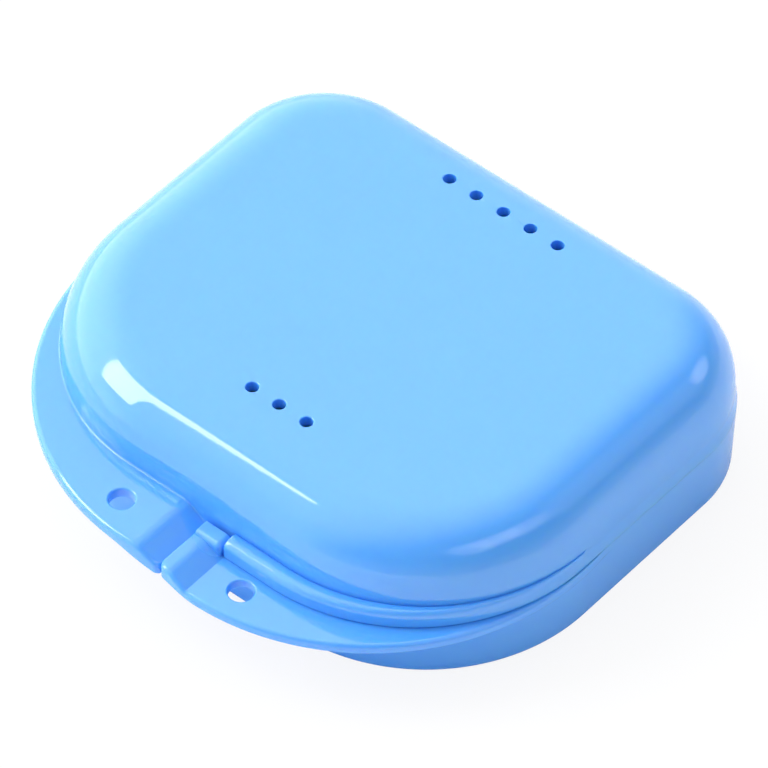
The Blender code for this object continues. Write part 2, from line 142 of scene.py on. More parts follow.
# Studio light: strength of the walls, the added strength where they meet the floor and the height
# (as a sine) where that has faded, then for each glow on them its tint, strength, bearing and height
# in degrees, and the angles from its middle where it has faded out and where it is full
WALL_LIGHT = 0.30
FOOT_LIGHT = 0.48
FOOT_FADE = 0.42
GLOWS = (
    ((1.0, 1.0, 1.0), 1.45, 180, 30, 88, 34),
    ((1.0, 1.0, 1.0), 0.7, 178, 22, 42, 5),
    ((0.90, 0.92, 1.0), 0.5, 42, 38, 22, 6),
    ((0.94, 0.90, 1.0), 1.6, 62, 33, 14, 6),
    ((0.94, 0.90, 1.0), 1.0, -21, 45, 14, 5),
    ((0.94, 0.90, 1.0), 1.0, -4, 48, 14, 5),
    ((0.94, 0.90, 1.0), 1.0, 13, 46, 14, 5),
)


def length(name, description, default):
    """A size in metres that a user can change."""
    return FloatProperty(
        name=name, description=description, default=default, min=0, precision=5, unit="LENGTH"
    )


def colour(name, description, default):
    """A colour that a user can change."""
    return FloatVectorProperty(
        name=name, description=description, default=default, size=3, min=0, max=1, subtype="COLOR"
    )


class CaseSizes(bpy.types.PropertyGroup):
    """Sizes that the lid and the tray share."""

    height: length("Height", "Height of the closed case", lid_high.z)
    width: length("Width", "Width of the body without the flanges", 0.0842)
    depth: length("Depth", "Depth of the body without flanges and hinges", 0.0699)
    parting: length("Parting height", "Height of the tray's rim", 0.0110)
    back_radius: length("Back corner radius", "Radius of the body's back corners", 0.0164)
    front_radius: length("Front corner radius", "Radius of the body's front corners", 0.0280)
    wall: length("Wall", "Thickness of both shells", 0.0018)
    gap: length("Seam gap", "Visible gap between the two flanges at the seam", 0.00014)
    rim_gap: length("Rim gap", "Visible gap between the lid's rim and the tray's", 0.00003)
    clearance: length("Clearance", "Clearance of the hinge parts and the tab", 0.0003)
    skirt: length("Skirt", "Thickness of the lid's skirt outside the tray's tongue", 0.0008)
    tongue: length("Tongue height", "Height of the tray's tongue above its rim", 0.0012)
    end_round: length("End rounding", "Rounding of the cut ends at the seam", 0.00018)
    seam_corner: length("Seam corner", "Radius in plan of the flanges' corners at the seam", 0.0009)


class FlangeSizes(bpy.types.PropertyGroup):
    """Sizes of the two finger flanges."""

    reach: length("Reach", "How far a flange stands out at the front", 0.01018)
    side_reach: length("Side reach", "How far its arc passes the side", 0.00036)
    arc_offset: length("Arc offset", "Distance of the arc's centre from the seam", 0.0058)
    lid_thickness: length("Lid flange", "Thickness of the lid's flange", 0.0018)
    tray_thickness: length("Tray flange", "Thickness of the tray's flange", 0.0015)
    edge: length("Edge radius", "Rounding of the upper edge", 0.0007)
    under: length("Lower edge radius", "Rounding of the lower edge", 0.0003)
    foot: length("Foot fillet", "Fillet where a flange meets the wall", 0.00025)
    hole: length("Hole diameter", "Diameter of the hole in each flange", 0.0036)
    hole_side: length("Hole offset", "Distance of a hole from the seam", 0.01045)
    hole_forward: length("Hole forward", "Distance of a hole in front of the body", 0.0051)
    hole_round: length("Hole rounding", "Rounding of a hole's mouths", 0.0003)
    lid_ramp_start: length("Lid ramp start", "Distance from the seam to the lid's ramp", 0.0046)
    lid_ramp_drop: length("Lid ramp drop", "How far the lid's flange comes down", 0.0020)
    lid_under_start: length("Lid underside start", "Distance from the seam to its drop", 0.0090)
    tray_ramp_start: length("Tray ramp foot", "Distance from the seam to the ramp's foot", 0.0049)
    tray_ramp_end: length("Tray ramp top", "Distance from the seam to the ramp's top", 0.0012)
    tray_ramp_rise: length("Tray ramp rise", "How far the tray's flange goes up", 0.0016)
    tray_under_start: length("Underside start", "Distance from the seam to its rise", 0.0065)
    tray_under_rise: length("Underside rise", "How far the underside rises at the seam", 0.00085)


class LidSizes(bpy.types.PropertyGroup):
    """Sizes of the lid alone."""

    round_run: length("Dome run", "How far the dome's rounding comes in", 0.0100)
    round_start: length("Dome start", "Height where the dome's rounding begins", 0.0133)
    flare: length("Flare", "How far the wall comes in above the rim", 0.0003)
    lip_width: length("Lip width", "Width of the lip at the front", 0.0023)
    lip_radius: length("Lip corner radius", "Radius of the lip's outline at the corners", 0.0291)
    lip_height: length("Lip height", "Height of the lip above the parting", 0.0028)
    lip_edge: length("Lip edge radius", "Rounding of the lip's upper edge", 0.0011)
    lip_inner: length("Lip inner run", "Run of the lip's rounding towards the wall", 0.0009)
    lip_dip: length("Lip dip", "Depth of the crease between the lip and the wall", 0.0005)
    notch: length("Notch width", "Width of the notch for the tab", 0.00485)
    ledge_reach: length("Ledge reach", "How far the ledge stands out in the notch", 0.00015)
    ledge_height: length("Ledge height", "Height of the ledge", 0.0006)
    ledge_margin: length("Ledge margin", "Distance of the ledge from the notch's ends", 0.0005)


class VentSizes(bpy.types.PropertyGroup):
    """Sizes of the two rows of vents."""

    diameter: length("Diameter", "Diameter of a vent", 0.0018)
    pitch: length("Pitch", "Distance between neighbouring vents", 0.00475)
    mouth: length("Mouth rounding", "Rounding of a vent's upper edge", 0.00018)
    from_back: length("Back row", "Distance of the back row from the back", 0.0092)
    from_front: length("Front row", "Distance of the front row from the front", 0.0147)
    back_count: IntProperty(name="Back vents", description="Vents in the back row", default=5, min=1)
    front_count: IntProperty(name="Front vents", description="Vents in the front row", default=3, min=1)


class TraySizes(bpy.types.PropertyGroup):
    """Sizes of the tray alone."""

    draft: length("Draft", "How far the wall comes in at the bottom", 0.0004)
    bottom: length("Bottom radius", "Rounding of the bottom edge", 0.0011)
    floor: length("Floor", "Thickness of the floor", 0.0018)
    inner: length("Inner radius", "Fillet round the inside of the floor", 0.0026)
    tab_rise: length("Tab rise", "Height of the tab above the ramp", 0.0006)
    tab_front: length("Tab front radius", "Rounding of the tab's upper front edge", 0.0008)
    tab_side: length("Tab side radius", "Rounding of the tab's upper right edge", 0.0009)
    tab_edge: length("Tab edge radius", "Rounding of the tab's other edges", 0.00018)
    tab_root: length("Tab root", "Depth of the tab's root below the rim", 0.0006)
    tab_reach: length("Tab reach", "How far the tab passes the lip", 0.0004)
    nose: length("Nose reach", "How far the nose stands out from the tab", 0.00035)
    nose_gap: length("Nose gap", "Gap between the nose and the ledge", 0.00015)


class HingeSizes(bpy.types.PropertyGroup):
    """Sizes of the two hinges."""

    spacing: length("Spacing", "Distance between the two hinges", 0.0360)
    barrel: length("Barrel diameter", "Diameter of the lugs and knuckles", 0.0042)
    knuckle: length("Knuckle width", "Width of a knuckle", 0.0064)
    lug: length("Lug width", "Width of a lug", 0.0032)
    skirt: length("Lug skirt", "How far a lug runs down the wall", 0.0052)
    shoulder: length("Shoulder", "Distance of a lug's top below the tray's rim", 0.0003)
    arm: length("Arm height", "How far a knuckle's arm runs up the dome", 0.0060)
    heel: length("Heel height", "Height of the heel above the axis", 0.0018)
    stop: length("Stop", "Distance of the stop below the axis", 0.0027)
    stop_reach: length("Stop reach", "How far the stop passes the axis", 0.0012)
    stop_thickness: length("Stop thickness", "Thickness of the stop's edge", 0.0007)
    pin: length("Pin diameter", "Diameter of a pin", 0.0018)
    pin_gap: length("Pin gap", "Clearance round a pin", 0.00025)
    head: length("Head diameter", "Diameter of a pin's head", 0.0030)
    head_thickness: length("Head thickness", "Thickness of a pin's head", 0.0005)
    tail: length("Tail", "How far a pin passes its far lug", 0.0003)
    soften: length("Softening", "Rounding of the hinge's moulded edges", 0.00022)
    embed: length("Embedding", "How far a hinge part runs into its wall", 0.0006)


class StudioColours(bpy.types.PropertyGroup):
    """Colours of the case."""

    plastic: colour("Plastic", "Colour of the blue plastic", (0.095, 0.405, 1.0))
    steel: colour("Steel", "Colour of the hinge pins", (0.60, 0.61, 0.62))


def sizes(name):
    """The values of one group of sizes."""
    return getattr(bpy.context.scene, name)


def arc(centre, radii, start, end, steps):
    """Points (offset, height) on an ellipse between two angles in degrees."""
    points = []
    for step in range(steps + 1):
        angle = math.radians(start + (end - start) * step / steps)
        points.append((centre[0] + radii[0] * math.cos(angle), centre[1] + radii[1] * math.sin(angle)))
    return points


def dome_arc(centre, radii, start, steps):
    """Points (offset, height) down a dome's rounding, from its flat top to a height share start."""
    last = math.asin(start ** (DOME_POWER / 2))
    points = []
    for step in range(steps + 1):
        angle = math.pi / 2 + (last - math.pi / 2) * step / steps
        run = max(math.cos(angle), 0) ** (2 / DOME_POWER)
        rise = math.sin(angle) ** (2 / DOME_POWER)
        points.append((centre[0] + radii[0] * run, centre[1] + radii[1] * rise))
    return points


def spaced(first, last, steps):
    """Evenly spaced values from first up to, but not including, last."""
    return [first + (last - first) * step / steps for step in range(steps)]


def smooth(share):
    """Ease from 0 to 1."""
    share = min(max(share, 0), 1)
    return share * share * (3 - 2 * share)


def fold(share):
    """Ramp from 0 to 1 that is rounded at its top and straight down to its foot."""
    share = min(max(share, 0), 1)
    if share < FOLD_SHARE:
        return share * share / (2 * FOLD_SHARE) / (1 - FOLD_SHARE / 2)
    return (share - FOLD_SHARE / 2) / (1 - FOLD_SHARE / 2)


def rounded_end(length_left, radius):
    """How far a section draws in near a cut end, so that the end's edge is rounded."""
    if length_left >= radius:
        return 0
    return radius - math.sqrt(radius * radius - (radius - max(length_left, 0)) ** 2)


def end_spots(edge, radius, side):
    """Places along the front that follow the rounding of a cut end."""
    angles = [math.radians(90 * step / END_STEPS) for step in range(END_STEPS)]
    return [edge + side * radius * (1 - math.cos(angle)) for angle in angles]


def seam_spots(edge, side):
    """Places along the front beside the seam, close together where the corners are rounded."""
    case = sizes("case")
    near = end_spots(edge, case.end_round, side)
    last = edge + side * case.seam_corner
    far = spaced(edge + side * case.end_round, last, 2 * END_STEPS)
    return near + far + [last]


def front(xs):
    """Stations on the straight middle of the front."""
    y = -sizes("case").depth / 2
    return [(Vector((x, y)), Vector((0, -1))) for x in xs]


def corner(centre, radius, start, end, steps):
    """Stations along a rounded corner of the body."""
    stations = []
    for angle in spaced(math.radians(start), math.radians(end), steps):
        out = Vector((math.cos(angle), math.sin(angle)))
        stations.append((centre + radius * out, out))
    return stations


def around():
    """Stations from the right front corner, over the right side and the back, to the left corner."""
    case = sizes("case")
    half_width, half_depth = case.width / 2, case.depth / 2
    fore = Vector((half_width - case.front_radius, case.front_radius - half_depth))
    aft = Vector((half_width - case.back_radius, half_depth - case.back_radius))
    half = corner(fore, case.front_radius, -90, 0, FRONT_CORNER_STEPS)
    half += [(Vector((half_width, y)), Vector((1, 0))) for y in spaced(fore.y, aft.y, SIDE_STEPS)]
    half += corner(aft, case.back_radius, 0, 90, BACK_CORNER_STEPS)
    half += [(Vector((x, half_depth)), Vector((0, 1))) for x in spaced(aft.x, 0, FRONT_STEPS)]
    mirrored = [(Vector((-p.x, p.y)), Vector((-n.x, n.y))) for p, n in reversed(half)]
    return half + [(Vector((0, half_depth)), Vector((0, 1)))] + mirrored


def reach(place, out, centre, radius):
    """Distance from a place, along its outward direction, to a circle, or 0 beyond it."""
    start = place - centre
    along = start.dot(out)
    inside = along * along - start.length_squared + radius * radius
    if inside <= 0:
        return 0
    return max(math.sqrt(inside) - along, 0)


def flange_width(place, out):
    """Reach of the flange beyond the body, on the half of the front that the place is on."""
    case, flange = sizes("case"), sizes("flange")
    radius = case.width / 2 + flange.side_reach - flange.arc_offset
    centre_y = radius - case.depth / 2 - flange.reach
    centre = Vector((math.copysign(flange.arc_offset, place.x), centre_y))
    return reach(place, out, centre, radius) if place.y < 0 else 0


def lip_width(place, out):
    """Reach of the lid's lip beyond the body."""
    case, lid = sizes("case"), sizes("lid")
    centre_x = case.width / 2 - lid.lip_radius
    if place.y > 0:
        return 0
    if abs(place.x) <= centre_x:
        return lid.lip_width
    centre = Vector((math.copysign(centre_x, place.x), lid.lip_radius - case.depth / 2 - lid.lip_width))
    return reach(place, out, centre, lid.lip_radius)


def lid_wall(height):
    """Offset of the lid's outside: flared to the body's outline at the rim, rounded over the top."""
    case, lid = sizes("case"), sizes("lid")
    rim = case.parting + case.rim_gap
    if height <= lid.round_start:
        return -lid.flare * smooth((height - rim) / (lid.round_start - rim))
    risen = min((height - lid.round_start) / (case.height - lid.round_start), 1)
    return -lid.flare - lid.round_run * (1 - (1 - risen ** DOME_POWER) ** (1 / DOME_POWER))


def tray_wall(height):
    """Offset of the tray's outside, drawn in towards the bottom."""
    return -sizes("tray").draft * (1 - height / sizes("case").parting)


def shelf(wall, width, points):
    """Profile points given as (run out from the wall, height), on a wall that isn't quite upright."""
    placed = []
    for run, height in points:
        share = run / width if width else 0
        placed.append((wall(height) * (1 - share) + run, height))
    return placed


def edge_points(width, top, bottom, edge, under):
    """Rounded outer edge of a lip or flange, from its top to its underside."""
    edge_run, under_run = min(edge, width / 2), min(under, width / 2)
    points = arc((width - edge_run, top - edge), (edge_run, edge), 90, 0, EDGE_STEPS)
    return points + arc((width - under_run, bottom + under), (under_run, under), 0, -90, END_STEPS)


def lid_shelf(place, out):
    """Outside of the lid below its dome: the flange on the left of the front, the lip elsewhere."""
    case, flange, lid = sizes("case"), sizes("flange"), sizes("lid")
    rim = case.parting + case.rim_gap
    lip_top = case.parting + lid.lip_height
    width = flange_width(place, out) if place.x < 0 else 0
    if width:
        seam = case.gap / 2
        drop = under = 0
        if place.x > case.front_radius - case.width / 2:
            ramp = fold((flange.lid_ramp_start + place.x) / (flange.lid_ramp_start - seam))
            drop = flange.lid_ramp_drop * ramp
            ramp = fold((flange.lid_under_start + place.x) / (flange.lid_under_start - seam))
            under = flange.lid_ramp_drop * ramp
        end = rounded_end(-seam - place.x, case.end_round)
        width -= rounded_end(-seam - place.x, case.seam_corner)
        top, edge = lip_top - drop - end, flange.edge
        bottom = lip_top - flange.lid_thickness - under + end
        fillet = min(flange.foot, width / 2)
        points = arc((fillet, top + flange.foot), (fillet, flange.foot), 180, 270, FILLET_STEPS)
    else:
        end = rounded_end(place.x - lid.notch, case.end_round) if place.x > 0 else 0
        width = lip_width(place, out)
        width -= end if width > end else 0
        top, bottom, edge = lip_top - end, rim, lid.lip_edge
        run = min(lid.lip_inner, width * LIP_RUN_SHARE)
        dip = lid.lip_dip * run / lid.lip_inner
        points = arc((run, top - dip), (run, dip), 180, 90, FILLET_STEPS)
    points += edge_points(width, top, bottom, edge, min(flange.under, width / 2))
    clear = min(width, case.gap)
    return shelf(lid_wall, width, points + [(clear, bottom), (clear, rim), (0, rim)])


def tray_shelf(place, out):
    """Outside of the tray below its rim, from the wall up: the flange, or a plain wall."""
    case, flange = sizes("case"), sizes("flange")
    rim = case.parting
    width = flange_width(place, out) if place.x > 0 else 0
    straight = case.width / 2 - case.front_radius
    rise = under = end = 0
    if width and place.x < straight:
        ramp = fold((place.x - flange.tray_ramp_end) / (flange.tray_ramp_start - flange.tray_ramp_end))
        rise = flange.tray_ramp_rise * (1 - ramp)
        share = (flange.tray_under_start - place.x) / flange.tray_under_start
        under = flange.tray_under_rise * smooth(share)
        end = rounded_end(place.x - case.gap / 2, case.end_round)
        width -= rounded_end(place.x - case.gap / 2, case.seam_corner)
    top, bottom = rim + rise - end, rim + under - flange.tray_thickness + end
    fillet = min(flange.foot, width / 2)
    points = arc((fillet, bottom - flange.foot), (fillet, flange.foot), 180, 90, FILLET_STEPS)
    points += reversed(edge_points(width, top, bottom, flange.edge, flange.under))
    inner = min(sizes("lid").lip_width, width / 2)
    return shelf(tray_wall, width, points + [(inner, top), (inner, rim), (0, rim)])


def bare(points, wall, held):
    """The plain wall left where a shelf ends, with a point for each point of the shelf."""
    return [(wall(held(height)), held(height)) for _, height in points]


def lid_section(middle):
    """Whole section of the lid's shell, from the edge of its flat top, outside, to inside."""
    case, lid = sizes("case"), sizes("lid")
    rise = case.height - lid.round_start
    lip_top = case.parting + lid.lip_height
    foot = (lip_top + sizes("flange").foot - lid.round_start) / rise
    centre = (-lid.flare - lid.round_run, lid.round_start)
    points = dome_arc(centre, (lid.round_run, rise), foot, DOME_STEPS)
    rim, step = case.parting + case.rim_gap, case.parting + case.tongue + case.gap
    points += middle + [(-case.skirt, rim), (-case.skirt, step), (-case.wall, step)]
    inner = (lid.round_run + lid.flare - case.wall, rise - case.wall)
    inside = dome_arc((-case.wall - inner[0], lid.round_start), inner, 0, INNER_STEPS)
    return points + list(reversed(inside))


def tray_section(middle):
    """Whole section of the tray's shell, from the edge of its flat bottom, outside, to inside."""
    case, tray = sizes("case"), sizes("tray")
    low = (tray_wall(tray.bottom) - tray.bottom, tray.bottom)
    points = arc(low, (tray.bottom, tray.bottom), -90, 0, FILLET_STEPS)
    tongue, tip = -case.skirt - case.gap, case.parting + case.tongue
    points += middle + [(tongue, case.parting), (tongue, tip), (-case.wall, tip)]
    well = (-case.wall - tray.inner, tray.floor + tray.inner)
    return points + arc(well, (tray.inner, tray.inner), 0, -90, INNER_STEPS)


def loft(runs):
    """Closed shell through runs of stations. Each station is a place, a direction and a section.

    A run ends where the section changes at once, as at the end of a flange. The next run starts
    there, and the flat face between the two sections is filled.
    """
    bm = bmesh.new()
    for run in runs:
        rings = []
        for place, out, section in run:
            spots = [place + out * offset for offset, _ in section]
            rings.append([bm.verts.new((s.x, s.y, h)) for s, (_, h) in zip(spots, section)])
        for ring, following in zip(rings, rings[1:]):
            for i in range(len(ring) - 1):
                bm.faces.new((ring[i], ring[i + 1], following[i + 1], following[i]))
    bmesh.ops.remove_doubles(bm, verts=bm.verts, dist=WELD)
    bmesh.ops.dissolve_degenerate(bm, edges=bm.edges, dist=WELD)
    bmesh.ops.holes_fill(bm, edges=[e for e in bm.edges if e.is_boundary], sides=0)
    return bm


def lid_shell():
    """The lid's shell: dome, lip, flange, and the notch that the snap tab stands in."""
    case, flange, lid = sizes("case"), sizes("flange"), sizes("lid")
    straight = case.width / 2 - case.front_radius
    left_end = -case.gap / 2
    xs = spaced(-straight, -flange.lid_ramp_start, FRONT_STEPS)[1:]
    xs += spaced(-flange.lid_ramp_start, left_end - case.seam_corner, RAMP_STEPS)
    xs += reversed(seam_spots(left_end, -1))
    right = end_spots(lid.notch, case.end_round, 1)
    right += spaced(lid.notch + case.end_round, straight, FRONT_STEPS)
    stations = front(right) + around() + front(xs)
    main = [(p, n, lid_section(lid_shelf(p, n))) for p, n in stations]
    rim = case.parting + case.rim_gap
    crease = case.parting + lid.lip_height - lid.lip_dip
    notch = []
    for place, out in (stations[-1], stations[0]):
        middle = bare(lid_shelf(place, out), lid_wall, lambda height: max(min(height, crease), rim))
        notch.append((place, out, lid_section(middle)))
    return loft([main, notch])


def tray_shell():
    """The tray's shell: floor, wall, tongue inside the rim, and the flange."""
    case, flange = sizes("case"), sizes("flange")
    straight = case.width / 2 - case.front_radius
    right_end = case.gap / 2
    xs = seam_spots(right_end, 1)
    xs += spaced(right_end + case.seam_corner, flange.tray_ramp_start, RAMP_STEPS)[1:]
    xs += spaced(flange.tray_ramp_start, straight, FRONT_STEPS)
    left = front(spaced(-straight, case.gap / 2, FRONT_STEPS)[1:])
    stations = front(xs) + around() + left
    main = [(p, n, tray_section(tray_shelf(p, n))) for p, n in stations]
    place, out = stations[0]
    middle = bare(tray_shelf(place, out), tray_wall, lambda height: min(height, case.parting))
    return loft([main, [main[-1], (place, out, tray_section(middle))]])


def extruded(section, start, end):
    """A solid with a section given as (y, z), between two x positions."""
    bm = bmesh.new()
    near = [bm.verts.new((start, y, z)) for y, z in section]
    far = [bm.verts.new((end, y, z)) for y, z in section]
    bm.faces.new(near)
    bm.faces.new(reversed(far))
    for i in range(len(section)):
        j = (i + 1) % len(section)
        bm.faces.new((near[j], near[i], far[i], far[j]))
    return bm


def turned(profile, place, turn):
    """A solid turned about an axis: profile gives (distance along it, radius) pairs."""
    bm = bmesh.new()
    rings = []
    for along, radius in profile:
        ring = []
        for step in range(TURN_STEPS):
            angle = 2 * math.pi * step / TURN_STEPS
            spot = Vector((radius * math.cos(angle), radius * math.sin(angle), along))
            ring.append(bm.verts.new(place + turn @ spot))
        rings.append(ring)
    for ring, following in zip(rings, rings[1:]):
        for i in range(TURN_STEPS):
            j = (i + 1) % TURN_STEPS
            bm.faces.new((ring[i], ring[j], following[j], following[i]))
    bm.faces.new(reversed(rings[0]))
    bm.faces.new(rings[-1])
    return bm


def piece(name, bm, finish=None):
    """Make an object at the origin from a bmesh, smooth where it is round."""
    bmesh.ops.recalc_face_normals(bm, faces=bm.faces)
    mesh = bpy.data.meshes.new(name)
    bm.to_mesh(mesh)
    bm.free()
    mesh.shade_smooth()
    mesh.set_sharp_from_angle(angle=SHARP_ANGLE)
    thing = bpy.data.objects.new(name, mesh)
    bpy.context.scene.collection.objects.link(thing)
    if finish:
        mesh.materials.append(finish)
    return thing


def settle(thing, shade=True):
    """Turn an object's modifiers into its plain mesh."""
    graph = bpy.context.evaluated_depsgraph_get()
    made = bpy.data.meshes.new_from_object(thing.evaluated_get(graph), depsgraph=graph)
    thing.modifiers.clear()
    thing.data = made
    made.name = thing.name
    if shade:
        made.shade_smooth()
        made.set_sharp_from_angle(angle=SHARP_ANGLE)


def clean(thing):
    """Merge the slivers that cutting leaves, and keep the shell closed."""
    bm = bmesh.new()
    bm.from_mesh(thing.data)
    bmesh.ops.dissolve_degenerate(bm, edges=bm.edges, dist=SLIVER)
    open_edges = [edge for edge in bm.edges if not edge.is_manifold]
    if open_edges:
        raise RuntimeError(f"{thing.name} has {len(open_edges)} open edges")
    if not bm.faces:
        raise RuntimeError(f"{thing.name} is empty")
    bm.to_mesh(thing.data)
    bm.free()


def even(thing):
    """Weight the normals by area, so that flat faces look flat up to their rounded edges."""
    modifier = thing.modifiers.new("even", "WEIGHTED_NORMAL")
    modifier.keep_sharp = True
    settle(thing, shade=False)


def join(target, tools, operation):
    """Boolean tools into the target, then remove them."""
    for tool in tools:
        modifier = target.modifiers.new(tool.name, "BOOLEAN")
        modifier.operation = operation
        modifier.solver = "EXACT"
        modifier.object = tool
    settle(target)
    for tool in tools:
        bpy.data.objects.remove(tool)


def soften(thing, width):
    """Round a moulded part's sharp edges."""
    modifier = thing.modifiers.new("soften", "BEVEL")
    modifier.width = width
    modifier.segments = BEVEL_STEPS
    modifier.limit_method = "ANGLE"
    modifier.angle_limit = SHARP_ANGLE
    settle(thing)
    return thing


def mouth(level, radius, rounding, side):
    """Profile of a hole's rounded mouth, from its wall out past the face. Side is 1 up, -1 down."""
    points = []
    for offset, height in arc((0, 0), (rounding, rounding), 180, 90, EDGE_STEPS):
        points.append((level + side * (height - rounding), radius + rounding + offset))
    return points + [(level + side * rounding, radius + rounding)]


def hole_tool(name, place, bottom, top):
    """Cutter for a flange hole with rounded mouths."""
    flange = sizes("flange")
    radius, rounding = flange.hole / 2, flange.hole_round
    profile = list(reversed(mouth(bottom, radius, rounding, -1))) + mouth(top, radius, rounding, 1)
    return piece(name, turned(profile, place, Matrix.Identity(3)))


def hinge_places():
    """Where the two hinges stand along the back."""
    half = sizes("hinge").spacing / 2
    return [hinge + Vector((-half, 0, 0)), hinge + Vector((half, 0, 0))]


def bore_tools():
    """Cutters for the pins' bores."""
    sized = sizes("hinge")
    half = sized.knuckle + sized.lug
    radius = sized.pin / 2 + sized.pin_gap
    turn = Matrix.Rotation(math.pi / 2, 3, "Y")
    tools = []
    for place in hinge_places():
        bm = turned([(-half, radius), (half, radius)], place, turn)
        tools.append(piece("bore", bm))
    return tools


def about_hinge(points):
    """Move section points from the hinge axis to their place."""
    return [(hinge.y + y, hinge.z + z) for y, z in points]


def lug_parts():
    """The tray's lugs, softened, and its stops."""
    case, sized = sizes("case"), sizes("hinge")
    wall = case.depth / 2 - hinge.y - sized.embed
    radius = sized.barrel / 2
    lug = [(wall, -sized.skirt), (wall, case.parting - hinge.z - sized.shoulder)]
    lug += arc((0, 0), (radius, radius), 90, -75, TURN_STEPS // 2)
    stop_foot = sized.stop + sized.stop_thickness
    stop = [(wall, -sized.skirt), (wall, -sized.stop)]
    stop += [(sized.stop_reach, -sized.stop), (sized.stop_reach, -stop_foot)]
    near = sized.knuckle / 2 + case.clearance
    far = near + sized.lug
    parts = []
    for place in hinge_places():
        for start, end in ((-far, -near), (near, far)):
            bm = extruded(about_hinge(lug), place.x + start, place.x + end)
            parts.append(soften(piece("lug", bm), sized.soften))
        bm = extruded(about_hinge(stop), place.x - near - sized.embed, place.x + near + sized.embed)
        parts.append(piece("stop", bm))
    return parts


def knuckle_parts():
    """The lid's knuckles on their arms, softened."""
    case, sized = sizes("case"), sizes("hinge")
    wall = case.depth / 2 - hinge.y - sized.embed
    radius = sized.barrel / 2
    foot = case.parting - hinge.z + case.clearance * KNUCKLE_CLEARANCES
    arm_top = case.parting - hinge.z + sized.arm
    section = [(wall, foot), (-radius, foot)]
    section += arc((0, 0), (radius, radius), 180, 360, TURN_STEPS // 2)
    section += [(radius, sized.heel), (wall + lid_wall(hinge.z + arm_top), arm_top)]
    parts = []
    for place in hinge_places():
        half = sized.knuckle / 2
        bm = extruded(about_hinge(section), place.x - half, place.x + half)
        parts.append(soften(piece("knuckle", bm), sized.soften))
    return parts


def ledge_part():
    """The ledge in the lid's notch."""
    case, lid = sizes("case"), sizes("lid")
    front_y = -case.depth / 2
    low = case.parting + case.clearance * KNUCKLE_CLEARANCES
    section = [
        (front_y + sizes("hinge").embed, low),
        (front_y - lid.ledge_reach, low),
        (front_y - lid.ledge_reach, low + lid.ledge_height),
        (front_y + sizes("hinge").embed, low + lid.ledge_height),
    ]
    return piece("ledge", extruded(section, lid.ledge_margin, lid.notch - lid.ledge_margin))


def tab_part():
    """The snap tab, with its rounded front and right upper edges and its nose."""
    case, flange, lid, tray = sizes("case"), sizes("flange"), sizes("lid"), sizes("tray")
    front_y = -case.depth / 2
    outer = front_y - lid.lip_width - tray.tab_reach
    tip = front_y - lid.ledge_reach - tray.nose_gap
    low = case.parting - tray.tab_root
    top = case.parting + flange.tray_ramp_rise + tray.tab_rise
    start, end = case.gap / 2 + tray.tab_edge, lid.notch - case.clearance
    bm = extruded([(tip, low), (outer, low), (outer, top), (tip, top)], start, end)
    edges = {"front": [], "side": []}
    for edge in bm.edges:
        middle = (edge.verts[0].co + edge.verts[1].co) / 2
        if abs(middle.z - top) < WELD and abs(middle.y - outer) < WELD:
            edges["front"].append(edge)
        if abs(middle.z - top) < WELD and abs(middle.x - end) < WELD:
            edges["side"].append(edge)
    bmesh.ops.bevel(
        bm, geom=edges["side"], offset=tray.tab_side, segments=EDGE_STEPS, profile=0.5, affect="EDGES"
    )
    ridge = [
        e for e in bm.edges
        if all(abs(v.co.y - outer) < WELD and v.co.z > top - tray.tab_side - WELD for v in e.verts)
    ]
    bmesh.ops.bevel(
        bm, geom=ridge, offset=tray.tab_front, segments=EDGE_STEPS, profile=0.5, affect="EDGES"
    )
    tab = soften(piece("tab", bm), tray.tab_edge)
    nose_low = case.parting + case.clearance * NOSE_CLEARANCES + lid.ledge_height
    stem = tip - tray.nose
    over = case.clearance
    section = [(stem, low - over), (stem, nose_low), (tip + over, nose_low), (tip + over, low - over)]
    join(tab, [piece("undercut", extruded(section, start - over, end + over))], "DIFFERENCE")
    return tab


def fill(tree, target, inputs):
    """Give a node's inputs, by name or number, a plain value or a link from another node's socket."""
    for key, value in inputs.items():
        if isinstance(value, bpy.types.NodeSocket):
            tree.links.new(value, target.inputs[key])
        else:
            target.inputs[key].default_value = value


def node(tree, kind, inputs, **settings):
    """A node of one kind, with its inputs and its plain settings."""
    made = tree.nodes.new(kind)
    for name, value in settings.items():
        setattr(made, name, value)
    fill(tree, made, inputs)
    return made


def noise(tree, place, scale, detail):
    """Noise from 0 to 1 over a place."""
    inputs = {"Vector": place, "Scale": scale, "Detail": detail}
    return node(tree, "ShaderNodeTexNoise", inputs).outputs["Fac"]


def fade(tree, value, first, last, limits, kind):
    """A number that goes between two limits as a value goes from first to last."""
    inputs = {"Value": value, "From Min": first, "From Max": last}
    inputs.update({"To Min": limits[0], "To Max": limits[1]})
    return node(tree, "ShaderNodeMapRange", inputs, interpolation_type=kind).outputs["Result"]


def tinted(tree, amount, base, shade):
    """A colour that goes from a darker shade of the base to the base."""
    inputs = {"Factor": amount, "A": (*[c * shade for c in base], 1), "B": (*base, 1)}
    return node(tree, "ShaderNodeMix", inputs, data_type="RGBA").outputs["Result"]


def material(name):
    """A new material, its node tree and its shader."""
    made = bpy.data.materials.new(name)
    made.use_nodes = True
    return made, made.node_tree, made.node_tree.nodes["Principled BSDF"]


